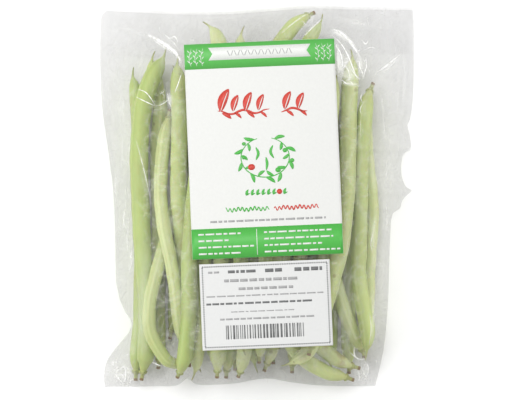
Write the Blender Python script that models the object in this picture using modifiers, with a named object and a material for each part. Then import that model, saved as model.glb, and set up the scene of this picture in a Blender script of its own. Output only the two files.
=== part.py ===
# A bundle of green beans in a clear film bag, lying on its back, with two paper labels on the front.
# +X is to the right and +Y towards the bag's folded top, seen from above, and +Z is up. Lengths are in
# millimetres in the tables and functions below, and MM turns them into Blender's metres at the end.

import math
import random

import bmesh
import bpy
import numpy as np
from mathutils import Vector
from mathutils.geometry import interpolate_bezier

MM = 0.001

# Film and clearances
FILM = 0.4  # stands for film far thinner than a solid can be
GAP = 0.35  # left between any two pieces that touch
FOLD_SPACE = 0.7  # inside the flat edges of the bag, between its two sheets
LABEL_PAPER = 0.4
FILM_CLEAR = GAP + 0.15  # between a pod and the film over it, whose facets are coarser

# The bag, lying flat
BAG_HALF_WIDTH = 73.8
BAG_HALF_LENGTH = 89.5
LEFT_EDGE = [(-89.5, -71.4), (-84, -71.8), (-78, -70.5), (-72.4, -67.3), (-67, -63.4), (-62, -60.8),
             (-58, -60.8), (-54, -62.4), (-48, -64.6), (-38, -66.3), (-15, -66.8), (2, -67.6), (20, -69.8),
             (40, -72.6), (60, -73.8), (80, -73.6), (86, -72.6), (89.5, -69.6)]
RIGHT_EDGE = [(-89.5, 55.5), (-72, 59.5), (-50, 61.6), (-20, 62.6), (-9, 64.0), (-5.5, 66.8), (-1, 68.6),
              (3, 70.6), (8, 68.6), (13, 67.8), (18, 68.6), (22, 71.4), (29, 71.9), (34, 71.0), (40, 72.8),
              (60, 73.8), (85, 73.6), (89.5, 72.8)]
BOTTOM_EDGE = [(-75, -89.5), (-50, -89.3), (-36, -88.6), (-28, -88.9), (-12, -88.2), (4, -87.4), (18, -88.2),
               (36, -89.1), (75, -88.8)]
TOP_EDGE = [(-75, 88.6), (-52, 87.6), (-30, 86.9), (-10, 87.4), (8, 88.4), (26, 89.5), (45, 89.0), (75, 88.9)]
FLAP_LENGTH = 22.0  # the front sheet's end, folded over the mouth and lying behind
MOUTH_INSET = 1.2  # the back sheet's mouth stops this far short of the fold
FLAP_RISE = 8.0  # the back sheet comes down to the surface over this length below the flap

# The labels: centre, size and turn
FRONT_LABEL = {"centre": (3.0, 22.1), "size": (70.0, 100.0), "turn": math.radians(2.4)}
WEIGHT_LABEL = {"centre": (4.2, -50.2), "size": (60.5, 40.0), "turn": math.radians(2.4)}
LABEL_BEND = 260.0  # the radius that the labels bow to, from side to side
LABEL_KNOTS = (50.0, -51.2, -92.4)  # along the front label: its top, between the labels, and the end
LABEL_LIFT = 0.15  # more room under a label, because its paper and the film bow in different steps

# A pod, from its stem end to its tail
STEM_RADIUS = 1.0
CALYX_RADIUS = 2.0
TAIL_RADIUS = 0.45
# Each ring: how far from that end, and its radius, either fixed or as a share of the body's
STEM_PROFILE = [(0.0, STEM_RADIUS, 0), (3.0, STEM_RADIUS, 0), (4.2, CALYX_RADIUS, 0), (5.6, 0, 0.56),
                (8.8, 0, 0.84), (14.0, 0, 0.97)]
TAIL_PROFILE = [(15.0, 0, 0.98), (9.5, 0, 0.83), (6.4, 0, 0.52), (4.4, 0, 0.24), (0.0, TAIL_RADIUS, 0)]
SEED_SWELL = 0.035  # how much the pod swells over a seed, as a share of its radius
RIB_INSET = 0.055  # how far the pod's sides stay inside its two seams, as a share of its radius

# Pods whose places can be seen through the film, from the lowest to the highest: width, roll of the seams in
# degrees, and the centre line from the stem end to the tail.
LAID_PODS = [
    (7.5, 20, [(-57, -86.5), (-56.4, -69.4), (-54.8, -48.4), (-53.4, -20.3), (-54, 8), (-55.6, 32),
               (-56.8, 48), (-59.6, 60.4)]),
    (7.6, 70, [(-40.9, -67.1), (-39.9, -48.4), (-38.2, -25), (-36.5, 8), (-36, 45), (-38, 62)]),
    (7.4, 35, [(50.4, -76), (50.2, -62.4), (51.6, -50), (52.4, -41.4), (52.2, -32), (52.8, -24), (53.8, -15),
               (53.9, -3), (52.6, 8), (50.8, 25), (50.4, 46)]),
    (8.0, 50, [(-46.4, -81), (-45.6, -72.7), (-45.8, -48.4), (-46.5, -15.7), (-46.9, 14), (-46.4, 28),
               (-45.4, 38), (-46.2, 49), (-49.2, 58.6), (-49.6, 68.4)]),
    (8.0, 10, [(-24.3, 63.8), (-23.4, 35.7), (-22.9, -1.6), (-25.2, -43.7), (-28.6, -71.7),
               (-28.8, -86.5)]),
    (8.0, 80, [(-14.5, -86.5), (-13.1, -57.7), (-10.7, -15.7), (-9, 31), (-8, 66), (-7.7, 80)]),
    (8.0, 25, [(-8.9, -86.5), (-5.6, -71.7), (-2.3, -48.4), (-0.5, -11), (0.5, 26.4), (0.5, 58)]),
    (7.6, 60, [(3.3, -82), (7, -71.7), (9.8, -53), (12.6, -20.3), (16.4, 21.7), (19.2, 56)]),
    (7.8, 15, [(45.6, -86.5), (39.8, -83.9), (30.2, -80.6), (21.5, -75.2), (13.6, -64.7), (9.8, -43.7),
               (8.9, -1.6), (11.7, 42)]),
    (7.4, 75, [(48.4, -80.6), (39.2, -77.6), (30.6, -72), (23.8, -62.4), (20.1, -39), (20.1, -1.6),
               (22.9, 40.4), (24, 52)]),
    (7.8, 40, [(27.2, 86.8), (22.9, 84.2), (16.8, 79.2), (10.7, 71.8), (2.3, 49.8), (-3.3, 17.1),
               (-6.5, -25), (-7.5, -62.4), (-7, -74)]),
    (7.6, 85, [(1, -78), (2.3, -60), (6.1, -20.3), (12.1, 21.7), (18.2, 54.4), (24.3, 72.6), (29.4, 80.2),
               (32.2, 84.6)]),
    (7.6, 55, [(50.9, -75.4), (46.7, -66.1), (42.5, -55.8), (38.3, -45.1), (33.2, -25), (29.4, 3),
               (28.5, 35.7), (30.4, 61)]),
    (8.0, 30, [(36, 60), (35, 35.7), (34.1, -1.6), (31.8, -39), (29.4, -60), (24.3, -70.6), (18.2, -76),
               (12.1, -80.4)]),
    (8.8, 65, [(-18.7, -86.5), (-17.3, -53), (-15.4, -11), (-15.4, 31.1), (-16.4, 62), (-18.2, 73.1),
               (-21.5, 79.4), (-24.1, 83)]),
    (9.6, 5, [(-54.2, -86.5), (-51.9, -71.7), (-50.9, -43.7), (-52.8, -23.1), (-55.1, 10), (-54.8, 26.4),
              (-53.6, 40), (-50.6, 52), (-46.6, 60), (-41.2, 68.6)]),
    (6.9, 90, [(-30.4, -79), (-37.9, -78.3), (-45.3, -73.1), (-50, -63.3), (-50.9, -50.7), (-47.7, -35.3),
               (-39.7, -13.3), (-33.2, 12.4), (-28, 46)]),
    (8.9, 12, [(-31, -78), (-33.6, -46), (-36, -23.1), (-37.1, -1.6), (-36.6, 20.3), (-36.5, 40.4),
               (-37, 56), (-38.2, 66)]),
    (7.2, 45, [(-40.8, 41), (-42, 33), (-44.2, 14), (-43.6, -4), (-41.6, -20), (-39.3, -35.3),
               (-36.4, -55.4), (-35.4, -72)]),
    (8.2, 78, [(-37.4, -86.5), (-33.4, -71.7), (-32, -48.4), (-31.6, -25), (-29.6, -1.6), (-26, 25),
               (-22.5, 50)]),
    (8.2, 22, [(54.6, 53.4), (52, 47), (50.2, 40), (49, 28.7), (48.4, 17), (48.3, 5.4), (48.1, -6.3),
               (48, -17.5), (47.3, -34.3), (48.6, -48.4), (50.4, -66), (52.2, -76.4)]),
    (8.6, 52, [(24, -74), (28.6, -58), (32.6, -46), (36.7, -29.7), (38.8, -18), (40, -6.3), (41, 5.4),
               (41.7, 17.1), (42.6, 28.7), (43, 40.4), (43.3, 47), (44, 58), (45.6, 69)]),
]

# Pods under those, placed by a rule: a row along the back sheet, and a few more over it.
SEED = 26
FLOOR_ROW = {"count": 9, "first": -28.0, "step": 8.9, "width": (7.4, 8.1), "ends": (-78.0, 62.0)}
SECOND_ROW = {"count": 2, "first": -14.6, "step": 17.8, "width": (7.4, 8.2), "ends": (-74.0, 58.0)}
ROW_SLACK = 6.0

# Settling: the pods sink together and bend, and then only push apart. Each keeps its place on the plan
# firmly where it can be seen, and hardly at all where the front label hides it.
SINK_ROUNDS = 500
PART_ROUNDS = 1000
SINK = 0.05
SINK_PER_HEIGHT = 0.01
HOLD_SEEN = 0.3
HOLD_HIDDEN = 0.002
HOLD_PARTING = 0.05  # how much of that hold is left while they only push apart
ORDER_SHARE = 0.6  # pods closer on the plan than this share of their reach keep the listed order, low to high
HIDDEN_MIDDLE = (3.0, 8.0)
HIDDEN_HALF = (33.0, 66.0)
SAMPLE = 2.4  # between the places where a pod is tested against the others
SETTLE_GAP = GAP + 0.15
EDGE_ROOM = 1.8  # the least distance from a pod's side to the bag's edge, for a pod on the back sheet
EDGE_SLOPE = 0.27  # and how much that grows with the pod's height
END_ROOM = 1.5  # the same at the bag's top and bottom, where the pods' ends fill it out to its edge
END_SLOPE = 0.09

COLOURS = {
    "bean_skin": ((0.44, 0.56, 0.17), 0.5, 1.0),
    "bag_film": ((0.86, 0.88, 0.88), 0.12, 0.25),
    "label_paper": ((0.93, 0.94, 0.92), 0.55, 1.0),
}


SMOOTHED = {}


def clear_scene():
    for item in list(bpy.data.objects):
        bpy.data.objects.remove(item)


def make_material(slot):
    colour, roughness, alpha = COLOURS[slot]
    material = bpy.data.materials.new(slot)
    material.use_nodes = True
    surface = material.node_tree.nodes["Principled BSDF"]
    surface.inputs["Base Color"].default_value = (*colour, 1)
    surface.inputs["Roughness"].default_value = roughness
    surface.inputs["Metallic"].default_value = 0.0
    surface.inputs["Alpha"].default_value = alpha
    return material


def smooth_line(points, step=0.5):
    """A smooth line through the points, as many close ones about a step apart."""
    way = [Vector((*p, 0)) for p in points]
    ends = [2 * way[0] - way[1], *way, 2 * way[-1] - way[-2]]
    line = [way[0]]
    for i in range(1, len(ends) - 2):
        before, here, there, after = ends[i - 1 : i + 3]
        pull = (there - here).length / 6
        leave = (there - before).normalized() * 2 * pull
        arrive = (after - here).normalized() * 2 * pull
        count = max(3, int((there - here).length / step))
        line += interpolate_bezier(here, here + leave, there - arrive, there, count)[1:]
    return np.array([[p.x, p.y] for p in line])


def along(line):
    """How far each point of a line is from its start."""
    return np.concatenate([[0], np.cumsum(np.linalg.norm(np.diff(line, axis=0), axis=1))])


def edge_at(edge, values):
    """A bag edge read at these places along it, rounded between its points."""
    key = tuple(edge)
    if key not in SMOOTHED:
        SMOOTHED[key] = smooth_line(edge)
    line = SMOOTHED[key]
    return np.interp(values, line[:, 0], line[:, 1])


def back_sheet(y, x):
    """The height of the back sheet's inside: on the surface, and lifted over the flap behind the top."""
    lifted = FILM + GAP
    top = edge_at(TOP_EDGE, x)
    share = np.clip((y - (top - FLAP_LENGTH - FLAP_RISE)) / FLAP_RISE, 0, 1)
    return FILM + lifted * share * share * (3 - 2 * share)


def pod_rings(width, points):
    """A pod's rings on the plan: (x, y, radius) for each, from stem to tail."""
    line = smooth_line(points)
    reach = along(line)
    length, body = reach[-1], width / 2
    rings = [(s, fixed or share * body) for s, fixed, share in STEM_PROFILE]
    start, end = STEM_PROFILE[-1][0], length - TAIL_PROFILE[0][0]
    count = max(4, round((end - start) / 13.5))
    for k in range(1, count):
        seed = 1 + SEED_SWELL * (1 if k % 2 else -0.4)
        rings.append((start + (end - start) * k / count, body * seed / (1 + SEED_SWELL)))
    rings += [(length - s, fixed or share * body) for s, fixed, share in TAIL_PROFILE]
    stations = np.array([s for s, _ in rings])
    radii = np.array([r for _, r in rings])
    return np.column_stack([np.interp(stations, reach, line[:, i]) for i in (0, 1)] + [radii])


def fine_steps(rings, spacing=1.6):
    """Even steps along a pod's rings: the ring before each step, and its share of the way to the next."""
    gaps = np.linalg.norm(np.diff(rings[:, :2], axis=0), axis=1)
    where = []
    for k, gap in enumerate(gaps):
        count = max(1, math.ceil(gap / spacing))
        where += [(k, i / count) for i in range(count)]
    where.append((len(gaps) - 1, 1.0))
    index = np.array([k for k, _ in where])
    share = np.array([s for _, s in where])
    return index, share


def between(values, index, share):
    return values[index] * (1 - share)[:, None] + values[index + 1] * share[:, None]


def spread(values, width):
    """Values along a pod, each made the mean of its neighbours, as a springy pod would bend."""
    kernel = np.hanning(width + 2)[1:-1]
    padded = np.pad(values, width // 2, mode="edge")
    return np.convolve(padded, kernel / kernel.sum(), mode="valid")


def lay_pod(rings, laid):
    """The pod's ring centres and radii once it rests on the back sheet and on the pods laid before it."""
    index, share = fine_steps(rings)
    fine = between(rings, index, share)
    needed = fine[:, 2] + GAP + back_sheet(fine[:, 1], fine[:, 0])
    if len(laid):
        apart = np.hypot(fine[:, None, 0] - laid[None, :, 0], fine[:, None, 1] - laid[None, :, 1])
        reach = fine[:, None, 2] + laid[None, :, 3] + GAP
        over = np.where(apart < reach, laid[None, :, 2] + np.sqrt(np.maximum(reach**2 - apart**2, 0)), 0)
        needed = np.maximum(needed, over.max(axis=1))
    height = needed
    for _ in range(12):
        height = np.maximum(needed, spread(height, 11))
    at_rings = np.interp(np.arange(len(rings)), index + share, height)
    for _ in range(12):
        short = needed - between(at_rings[:, None], index, share)[:, 0]
        for k in range(len(at_rings)):
            near = np.abs(index + share - k) < 1
            at_rings[k] += max(0, short[near].max())
    return np.column_stack([rings[:, :2], at_rings, rings[:, 2]])


def row_pods(row, draw):
    """Pods side by side, nearly straight, each with its own width, ends and turn."""
    pods = []
    for k in range(row["count"]):
        x = row["first"] + k * row["step"]
        low = row["ends"][0] - draw.uniform(0, ROW_SLACK)
        high = row["ends"][1] + draw.uniform(-ROW_SLACK, 0)
        points = [(x, low + (high - low) * t) for t in (0, 0.33, 0.67, 1)]
        if draw.random() < 0.5:
            points.reverse()
        pods.append((draw.uniform(*row["width"]), draw.uniform(0, 90), points))
    return pods


def bump(value, half):
    """1 at 0, falling smoothly to 0 at half and beyond."""
    return np.where(np.abs(value) < half, (1 + np.cos(np.pi * value / half)) / 2, 0)


def close_pairs(place, radius, owner):
    """Pairs of points, of two different pods, that are touching or nearly so."""
    apart = sum((place[:, None, i] - place[None, :, i]) ** 2 for i in range(3))
    reach = radius[:, None] + radius[None, :] + 2.0
    first, second = np.nonzero((apart < reach**2) & (owner[:, None] < owner[None, :]))
    return first, second


def settle(pods):
    """Lets the pods sink, push each other aside and bend. Returns their rings in their new places."""
    steps = [fine_steps(rings, SAMPLE) for rings in pods]
    offset = np.cumsum([0] + [len(rings) for rings in pods])
    ring_owner = np.repeat(np.arange(len(pods)), np.diff(offset))
    low = np.concatenate([index + begin for (index, _), begin in zip(steps, offset)])
    share = np.concatenate([part for _, part in steps])[:, None]
    owner = ring_owner[low]
    rings = np.vstack(pods)
    place, radius = rings[:, :3].copy(), rings[:, 3]
    sample_radius = (radius[low] * (1 - share[:, 0]) + radius[low + 1] * share[:, 0])
    home = place * (1, 1, 0)
    hidden = np.prod([bump(place[:, i] - HIDDEN_MIDDLE[i], HIDDEN_HALF[i]) for i in (0, 1)], axis=0)
    hold = HOLD_SEEN + (HOLD_HIDDEN - HOLD_SEEN) * np.minimum(1, 2.5 * hidden)
    number = np.arange(len(place))
    before = np.where(np.isin(number, offset), number, number - 1)
    after = np.where(np.isin(number + 1, offset), number, number + 1)
    for count in range(SINK_ROUNDS + PART_ROUNDS):
        sinking = count < SINK_ROUNDS
        samples = place[low] * (1 - share) + place[low + 1] * share
        if count % 15 == 0:
            first, second = close_pairs(samples, sample_radius, owner)
        apart = samples[first] - samples[second]
        reach = sample_radius[first] + sample_radius[second] + SETTLE_GAP
        crossing = np.hypot(apart[:, 0], apart[:, 1]) < ORDER_SHARE * reach
        apart[:, 2] = np.where(crossing, -np.abs(apart[:, 2]), apart[:, 2])
        distance = np.maximum(np.linalg.norm(apart, axis=1), 0.001)
        overlap = np.maximum(0, reach - distance)
        push = apart / distance[:, None] * overlap[:, None] / 2
        moved, touches = np.zeros_like(place), np.full(len(place), 0.3)
        for who, way in ((first, push), (second, -push)):
            for ring, part in ((low[who], 1 - share[who]), (low[who] + 1, share[who])):
                np.add.at(moved, ring, way * part)
                np.add.at(touches, ring, part[:, 0] * (overlap > 0))
        place += 1.2 * moved / touches[:, None]
        if sinking:
            place[:, 2] -= SINK + SINK_PER_HEIGHT * place[:, 2]
        shift = place - home
        ease = 0.5 if sinking else 0.02
        shift = shift * (1 - ease) + (shift[before] + shift[after]) * ease / 2
        shift[:, :2] *= (1 - hold * (1 if sinking else HOLD_PARTING))[:, None]
        place = home + shift
        place[:, 2] = np.maximum(place[:, 2], radius + GAP + back_sheet(place[:, 1], place[:, 0]))
        room = radius + EDGE_ROOM + EDGE_SLOPE * (place[:, 2] - radius)
        low_x, high_x = edge_at(LEFT_EDGE, place[:, 1]) + room, edge_at(RIGHT_EDGE, place[:, 1]) - room
        room = radius + END_ROOM + END_SLOPE * (place[:, 2] - radius)
        low_y, high_y = edge_at(BOTTOM_EDGE, place[:, 0]) + room, edge_at(TOP_EDGE, place[:, 0]) - room
        place[:, 0] = np.clip(place[:, 0], low_x, high_x)
        place[:, 1] = np.clip(place[:, 1], low_y, high_y)
    samples = place[low] * (1 - share) + place[low + 1] * share
    first, second = close_pairs(samples, sample_radius, owner)
    clear = np.linalg.norm(samples[first] - samples[second], axis=1)
    clear -= sample_radius[first] + sample_radius[second]
    aside = np.linalg.norm((place - home)[:, :2], axis=1) * (hold > HOLD_SEEN / 2)
    print(f"least gap between pods {clear.min():.2f} mm, seen pods moved by up to {aside.max():.1f} mm")
    placed = np.column_stack([place, radius])
    settled = [placed[begin:end] for begin, end in zip(offset, offset[1:])]
    return settled, np.column_stack([samples, sample_radius])


def lay_bundle():
    """Every pod, its rings and its roll, and close points along them all."""
    draw = random.Random(SEED)
    listed = row_pods(FLOOR_ROW, draw) + row_pods(SECOND_ROW, draw) + LAID_PODS
    pods, laid = [], np.zeros((0, 4))
    for width, _, points in listed:
        pods.append(lay_pod(pod_rings(width, points), laid))
        laid = np.vstack([laid, between(pods[-1], *fine_steps(pods[-1]))])
    pods, laid = settle(pods)
    return [(rings, roll) for rings, (_, roll, _) in zip(pods, listed)], laid


def make_pod_section(cutters):
    """A pod's cross-section of radius 1: round, with its two seams a little proud."""
    data = bpy.data.curves.new("pod_section", "CURVE")
    data.dimensions = "2D"
    spline = data.splines.new("POLY")
    spline.points.add(7)
    for k, point in enumerate(spline.points):
        radius = 1 if k % 4 == 0 else 1 - RIB_INSET
        angle = -k * math.tau / 8
        point.co = (radius * math.cos(angle), radius * math.sin(angle), 0, 1)
    spline.use_cyclic_u = True
    section = bpy.data.objects.new("pod_section", data)
    cutters.objects.link(section)
    section.hide_render = True
    section.display_type = "WIRE"
    return section


def make_pod(name, rings, roll, section, material, collection, parent):
    data = bpy.data.curves.new(name, "CURVE")
    data.dimensions = "3D"
    data.twist_mode = "Z_UP"
    data.bevel_mode = "OBJECT"
    data.bevel_object = section
    data.use_fill_caps = True
    spline = data.splines.new("POLY")
    spline.points.add(len(rings) - 1)
    for point, (x, y, z, radius) in zip(spline.points, rings):
        point.co = (x * MM, y * MM, z * MM, 1)
        point.radius = radius * MM
        point.tilt = math.radians(roll)
    data.materials.append(material)
    pod = bpy.data.objects.new(name, data)
    pod.parent = parent
    collection.objects.link(pod)


class Plan:
    """Where the bag's two sheets lie on the plan: u runs from left to right, and v from bottom to top."""

    def __init__(self, across, lengthwise):
        self.u, self.v = np.meshgrid(across, lengthwise)
        y = -BAG_HALF_LENGTH + 2 * BAG_HALF_LENGTH * self.v
        for _ in range(3):
            left, right = edge_at(LEFT_EDGE, y), edge_at(RIGHT_EDGE, y)
            x = left + (right - left) * self.u
            low, high = edge_at(BOTTOM_EDGE, x), edge_at(TOP_EDGE, x)
            y = low + (high - low) * self.v
        self.x, self.y = x, y


def eased(count, ends):
    """Shares from 0 to 1, closer together near both ends."""
    t = np.linspace(0, 1, count + 1)
    return t - ends * np.sin(math.tau * t) / math.tau


def label_corner(label, x, y):
    """Points of the plan in a label's own axes."""
    dx, dy = x - label["centre"][0], y - label["centre"][1]
    c, s = math.cos(label["turn"]), math.sin(label["turn"])
    return dx * c + dy * s, dy * c - dx * s


def crown(levels, x, y):
    """The surface that the film follows under the labels: bowed across, with one bend along it."""
    across, up = label_corner(FRONT_LABEL, x, y)
    return np.interp(-up, [-k for k in LABEL_KNOTS], levels) - across**2 / (2 * LABEL_BEND)


def pile_height(x, y, laid):
    """The height that the film's inside must clear over the pods, at each point of the plan."""
    shape, x, y = x.shape, x.ravel(), y.ravel()
    height = np.zeros(len(x))
    for px, py, pz, radius in laid:
        reach = radius + FILM_CLEAR
        near = np.flatnonzero((np.abs(x - px) < reach) & (np.abs(y - py) < reach))
        apart = (x[near] - px) ** 2 + (y[near] - py) ** 2
        inside = apart < reach**2
        near = near[inside]
        height[near] = np.maximum(height[near], pz + np.sqrt(reach**2 - apart[inside]))
    return height.reshape(shape)


def under_label(label, x, y, margin):
    across, up = label_corner(label, x, y)
    half_w, half_h = label["size"][0] / 2 + margin, label["size"][1] / 2 + margin
    return (np.abs(across) < half_w) & (np.abs(up) < half_h)


def crown_levels(fine, pile):
    """The crown's heights at its knots: as low as clears the pods, and none above the middle one's."""
    covered = under_label(FRONT_LABEL, fine.x, fine.y, 1.0)
    covered |= under_label(WEIGHT_LABEL, fine.x, fine.y, 1.0)
    across, up = label_corner(FRONT_LABEL, fine.x, fine.y)
    need = (pile + across**2 / (2 * LABEL_BEND))[covered]
    top, middle, end = LABEL_KNOTS
    highest = need.max()
    ends = []
    for knot in (top, end):
        share = (up[covered] - middle) / (knot - middle)
        beyond = share > 0.05
        ends.append(highest + min(0, ((need[beyond] - highest) / share[beyond]).max()))
    return [ends[0], highest, ends[1]]


def stretch(height, pile, held, rounds):
    """Draws the film tight: each point goes to the mean of its neighbours, and never below the pile."""
    for _ in range(rounds):
        mean = height.copy()
        mean[1:-1, 1:-1] = (height[:-2, 1:-1] + height[2:, 1:-1] + height[1:-1, :-2] + height[1:-1, 2:]) / 4
        height = np.where(held, height, np.maximum(mean, pile))
    return height


def film_surface(laid):
    """The inside of the front sheet on a fine plan, and how high it lies under the labels."""
    fine = Plan(np.linspace(0, 1, 101), np.linspace(0, 1, 121))
    pile = pile_height(fine.x, fine.y, laid)
    levels = crown_levels(fine, pile)
    for label in (FRONT_LABEL, WEIGHT_LABEL):
        covered = under_label(label, fine.x, fine.y, 3.0)
        pile = np.where(covered, np.maximum(pile, crown(levels, fine.x, fine.y)), pile)
    rest = back_sheet(fine.y, fine.x) + FOLD_SPACE
    held = np.zeros(fine.x.shape, bool)
    held[[0, -1], :] = True
    held[:, [0, -1]] = True
    height = np.where(held, rest, np.maximum(pile, rest))
    return fine, pile, stretch(height, np.maximum(pile, rest), held, 400), levels


def coarse_from(fine_values, across, lengthwise):
    """Fine values read at a coarser set of shares."""
    rows = np.array([np.interp(across, np.linspace(0, 1, fine_values.shape[1]), row) for row in fine_values])
    return np.array([np.interp(lengthwise, np.linspace(0, 1, fine_values.shape[0]), col) for col in rows.T]).T


def refine(coarse, across, lengthwise, shape):
    """The coarse sheet read back at the fine plan's points."""
    rows = np.array([np.interp(np.linspace(0, 1, shape[1]), across, row) for row in coarse])
    return np.array([np.interp(np.linspace(0, 1, shape[0]), lengthwise, col) for col in rows.T]).T


def lift_over(coarse, across, lengthwise, pile):
    """Lifts the coarse sheet's inner points until it clears the pile between them too."""
    rows, columns = pile.shape
    row_of = np.linspace(0, 1, rows)
    column_of = np.linspace(0, 1, columns)
    for _ in range(10):
        short = pile - refine(coarse, across, lengthwise, pile.shape)
        for j in range(1, len(lengthwise) - 1):
            near_rows = (row_of > lengthwise[j - 1]) & (row_of < lengthwise[j + 1])
            for i in range(1, len(across) - 1):
                near = (column_of > across[i - 1]) & (column_of < across[i + 1])
                coarse[j, i] += max(0, short[np.ix_(near_rows, near)].max()) * 0.8
    return coarse


def make_sheet(bm, plan, height):
    """A grid of faces over the plan at these heights. Returns its vertices by row and column."""
    rows, columns = plan.x.shape
    made = bmesh.ops.create_grid(bm, x_segments=columns - 1, y_segments=rows - 1, size=1)
    corners = sorted(made["verts"], key=lambda v: (round(v.co.y, 5), round(v.co.x, 5)))
    sheet = [corners[j * columns : (j + 1) * columns] for j in range(rows)]
    for j in range(rows):
        for i in range(columns):
            sheet[j][i].co = Vector((plan.x[j, i], plan.y[j, i], height[j, i])) * MM
    return sheet


def fold_flap(bm, top_row, x, top_y):
    """Carries the front sheet's last row over the fold and down behind the back sheet."""
    front = top_row[0].co.z / MM
    behind = FILM
    turn = (front - behind) / 2
    angles = (0.9, math.pi / 2, 2.25, math.pi)
    bends = [(turn * math.sin(a), behind + turn + turn * math.cos(a)) for a in angles]
    runs = [(-FLAP_LENGTH * share, behind) for share in (0.5, 1.0)]
    edges = [bm.edges.get((a, b)) for a, b in zip(top_row, top_row[1:])]
    for out, z in bends + runs:
        made = bmesh.ops.extrude_edge_only(bm, edges=edges)["geom"]
        row = sorted((g for g in made if isinstance(g, bmesh.types.BMVert)), key=lambda v: v.co.x)
        for vertex, px, py in zip(row, x, top_y):
            vertex.co = Vector((px, py + out, z)) * MM
        edges = [g for g in made if isinstance(g, bmesh.types.BMEdge)]


def make_bag(laid, material, collection, parent):
    """One piece of film: two sheets joined along the sides and bottom, and the flap folded behind."""
    across, lengthwise = eased(22, 0.55), eased(27, 0.6)
    fine, pile, height, levels = film_surface(laid)
    plan = Plan(across, lengthwise)
    front = lift_over(coarse_from(height, across, lengthwise), across, lengthwise, pile)
    back = back_sheet(plan.y, plan.x)
    bm = bmesh.new()
    front_rows = make_sheet(bm, plan, front)
    fold_y = plan.y[-1].copy()
    plan.y[-1] -= MOUTH_INSET
    back_rows = make_sheet(bm, plan, back)
    flat = [v for row in back_rows for v in row]
    bmesh.ops.reverse_faces(bm, faces=list({f for v in flat for f in v.link_faces}))
    join = [[row[0] for row in front_rows], [row[-1] for row in front_rows], front_rows[0]]
    meet = [[row[0] for row in back_rows], [row[-1] for row in back_rows], back_rows[0]]
    for upper, lower in zip(join, meet):
        for a, b, c, d in zip(upper, upper[1:], lower, lower[1:]):
            bm.faces.new((a, b, d, c))
    bmesh.ops.recalc_face_normals(bm, faces=bm.faces)
    fold_flap(bm, front_rows[-1], plan.x[-1], fold_y)
    bmesh.ops.recalc_face_normals(bm, faces=bm.faces)
    bm.faces.ensure_lookup_table()
    middle = front_rows[len(front_rows) // 2][len(across) // 2]
    if middle.link_faces[0].normal.z < 0:
        bmesh.ops.reverse_faces(bm, faces=bm.faces)
    data = bpy.data.meshes.new("bag")
    bm.to_mesh(data)
    bm.free()
    data.materials.append(material)
    bag = bpy.data.objects.new("bag", data)
    bag.parent = parent
    collection.objects.link(bag)
    solid = bag.modifiers.new("film", "SOLIDIFY")
    solid.thickness = FILM * MM
    solid.offset = 1
    return fine, refine(front, across, lengthwise, fine.x.shape), levels


def make_label(name, label, film, material, collection, parent):
    """A sheet of paper on the front of the film, bowed as that is and raised where the film is fuller."""
    fine, height, levels = film
    columns, rows = 8, 3
    above = np.where(under_label(label, fine.x, fine.y, 2.0), height - crown(levels, fine.x, fine.y), 0)
    lift = above.max()
    bm = bmesh.new()
    bmesh.ops.create_grid(bm, x_segments=columns, y_segments=rows, size=0.5)
    c, s = math.cos(label["turn"]), math.sin(label["turn"])
    for vertex in bm.verts:
        across, up = vertex.co.x * label["size"][0], vertex.co.y * label["size"][1]
        x = label["centre"][0] + across * c - up * s
        y = label["centre"][1] + across * s + up * c
        z = float(crown(levels, x, y)) + lift + FILM + GAP + LABEL_LIFT
        vertex.co = Vector((x, y, z)) * MM
    data = bpy.data.meshes.new(name)
    bm.to_mesh(data)
    bm.free()
    data.materials.append(material)
    paper = bpy.data.objects.new(name, data)
    paper.parent = parent
    collection.objects.link(paper)
    solid = paper.modifiers.new("paper", "SOLIDIFY")
    solid.thickness = LABEL_PAPER * MM
    solid.offset = 1


def main():
    clear_scene()
    bundle_collection = bpy.data.collections.new("green_bean_bundle")
    guides = bpy.data.collections.new("guides")
    bpy.context.scene.collection.children.link(bundle_collection)
    bpy.context.scene.collection.children.link(guides)
    parent = bpy.data.objects.new("bundle_origin", None)
    bundle_collection.objects.link(parent)
    skin, film, paper = (make_material(slot) for slot in ("bean_skin", "bag_film", "label_paper"))
    section = make_pod_section(guides)
    bundle, laid = lay_bundle()
    for k, (rings, roll) in enumerate(bundle, 1):
        make_pod(f"bean_{k:02d}", rings, roll, section, skin, bundle_collection, parent)
    surface = make_bag(laid, film, bundle_collection, parent)
    make_label("front_label", FRONT_LABEL, surface, paper, bundle_collection, parent)
    make_label("weight_label", WEIGHT_LABEL, surface, paper, bundle_collection, parent)
    volume = sum(
        math.pi * ((a[3] + b[3]) / 2) ** 2 * np.linalg.norm(b[:3] - a[:3])
        for rings, _ in bundle
        for a, b in zip(rings, rings[1:])
    )
    print(f"{len(bundle)} pods, {volume / 1000:.0f} ml, pile {laid[:, 2].max():.1f} mm, crown {surface[2]}")


main()
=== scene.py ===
import math
import random

import bmesh
import bpy
import numpy as np
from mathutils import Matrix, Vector, noise


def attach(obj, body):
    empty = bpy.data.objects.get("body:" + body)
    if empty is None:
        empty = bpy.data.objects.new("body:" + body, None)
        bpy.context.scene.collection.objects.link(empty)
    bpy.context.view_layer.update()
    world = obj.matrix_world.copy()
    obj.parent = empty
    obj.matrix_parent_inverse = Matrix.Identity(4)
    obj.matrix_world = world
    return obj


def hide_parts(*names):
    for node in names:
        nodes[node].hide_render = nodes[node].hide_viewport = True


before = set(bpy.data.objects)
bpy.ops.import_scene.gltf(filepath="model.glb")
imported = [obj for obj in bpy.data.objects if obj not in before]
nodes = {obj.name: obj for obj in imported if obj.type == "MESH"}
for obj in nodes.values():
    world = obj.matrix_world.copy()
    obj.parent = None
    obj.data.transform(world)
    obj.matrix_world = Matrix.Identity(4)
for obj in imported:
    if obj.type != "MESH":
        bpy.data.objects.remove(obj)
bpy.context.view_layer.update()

mm = 0.001
print("frame loaded:", len(nodes), "nodes")


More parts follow.
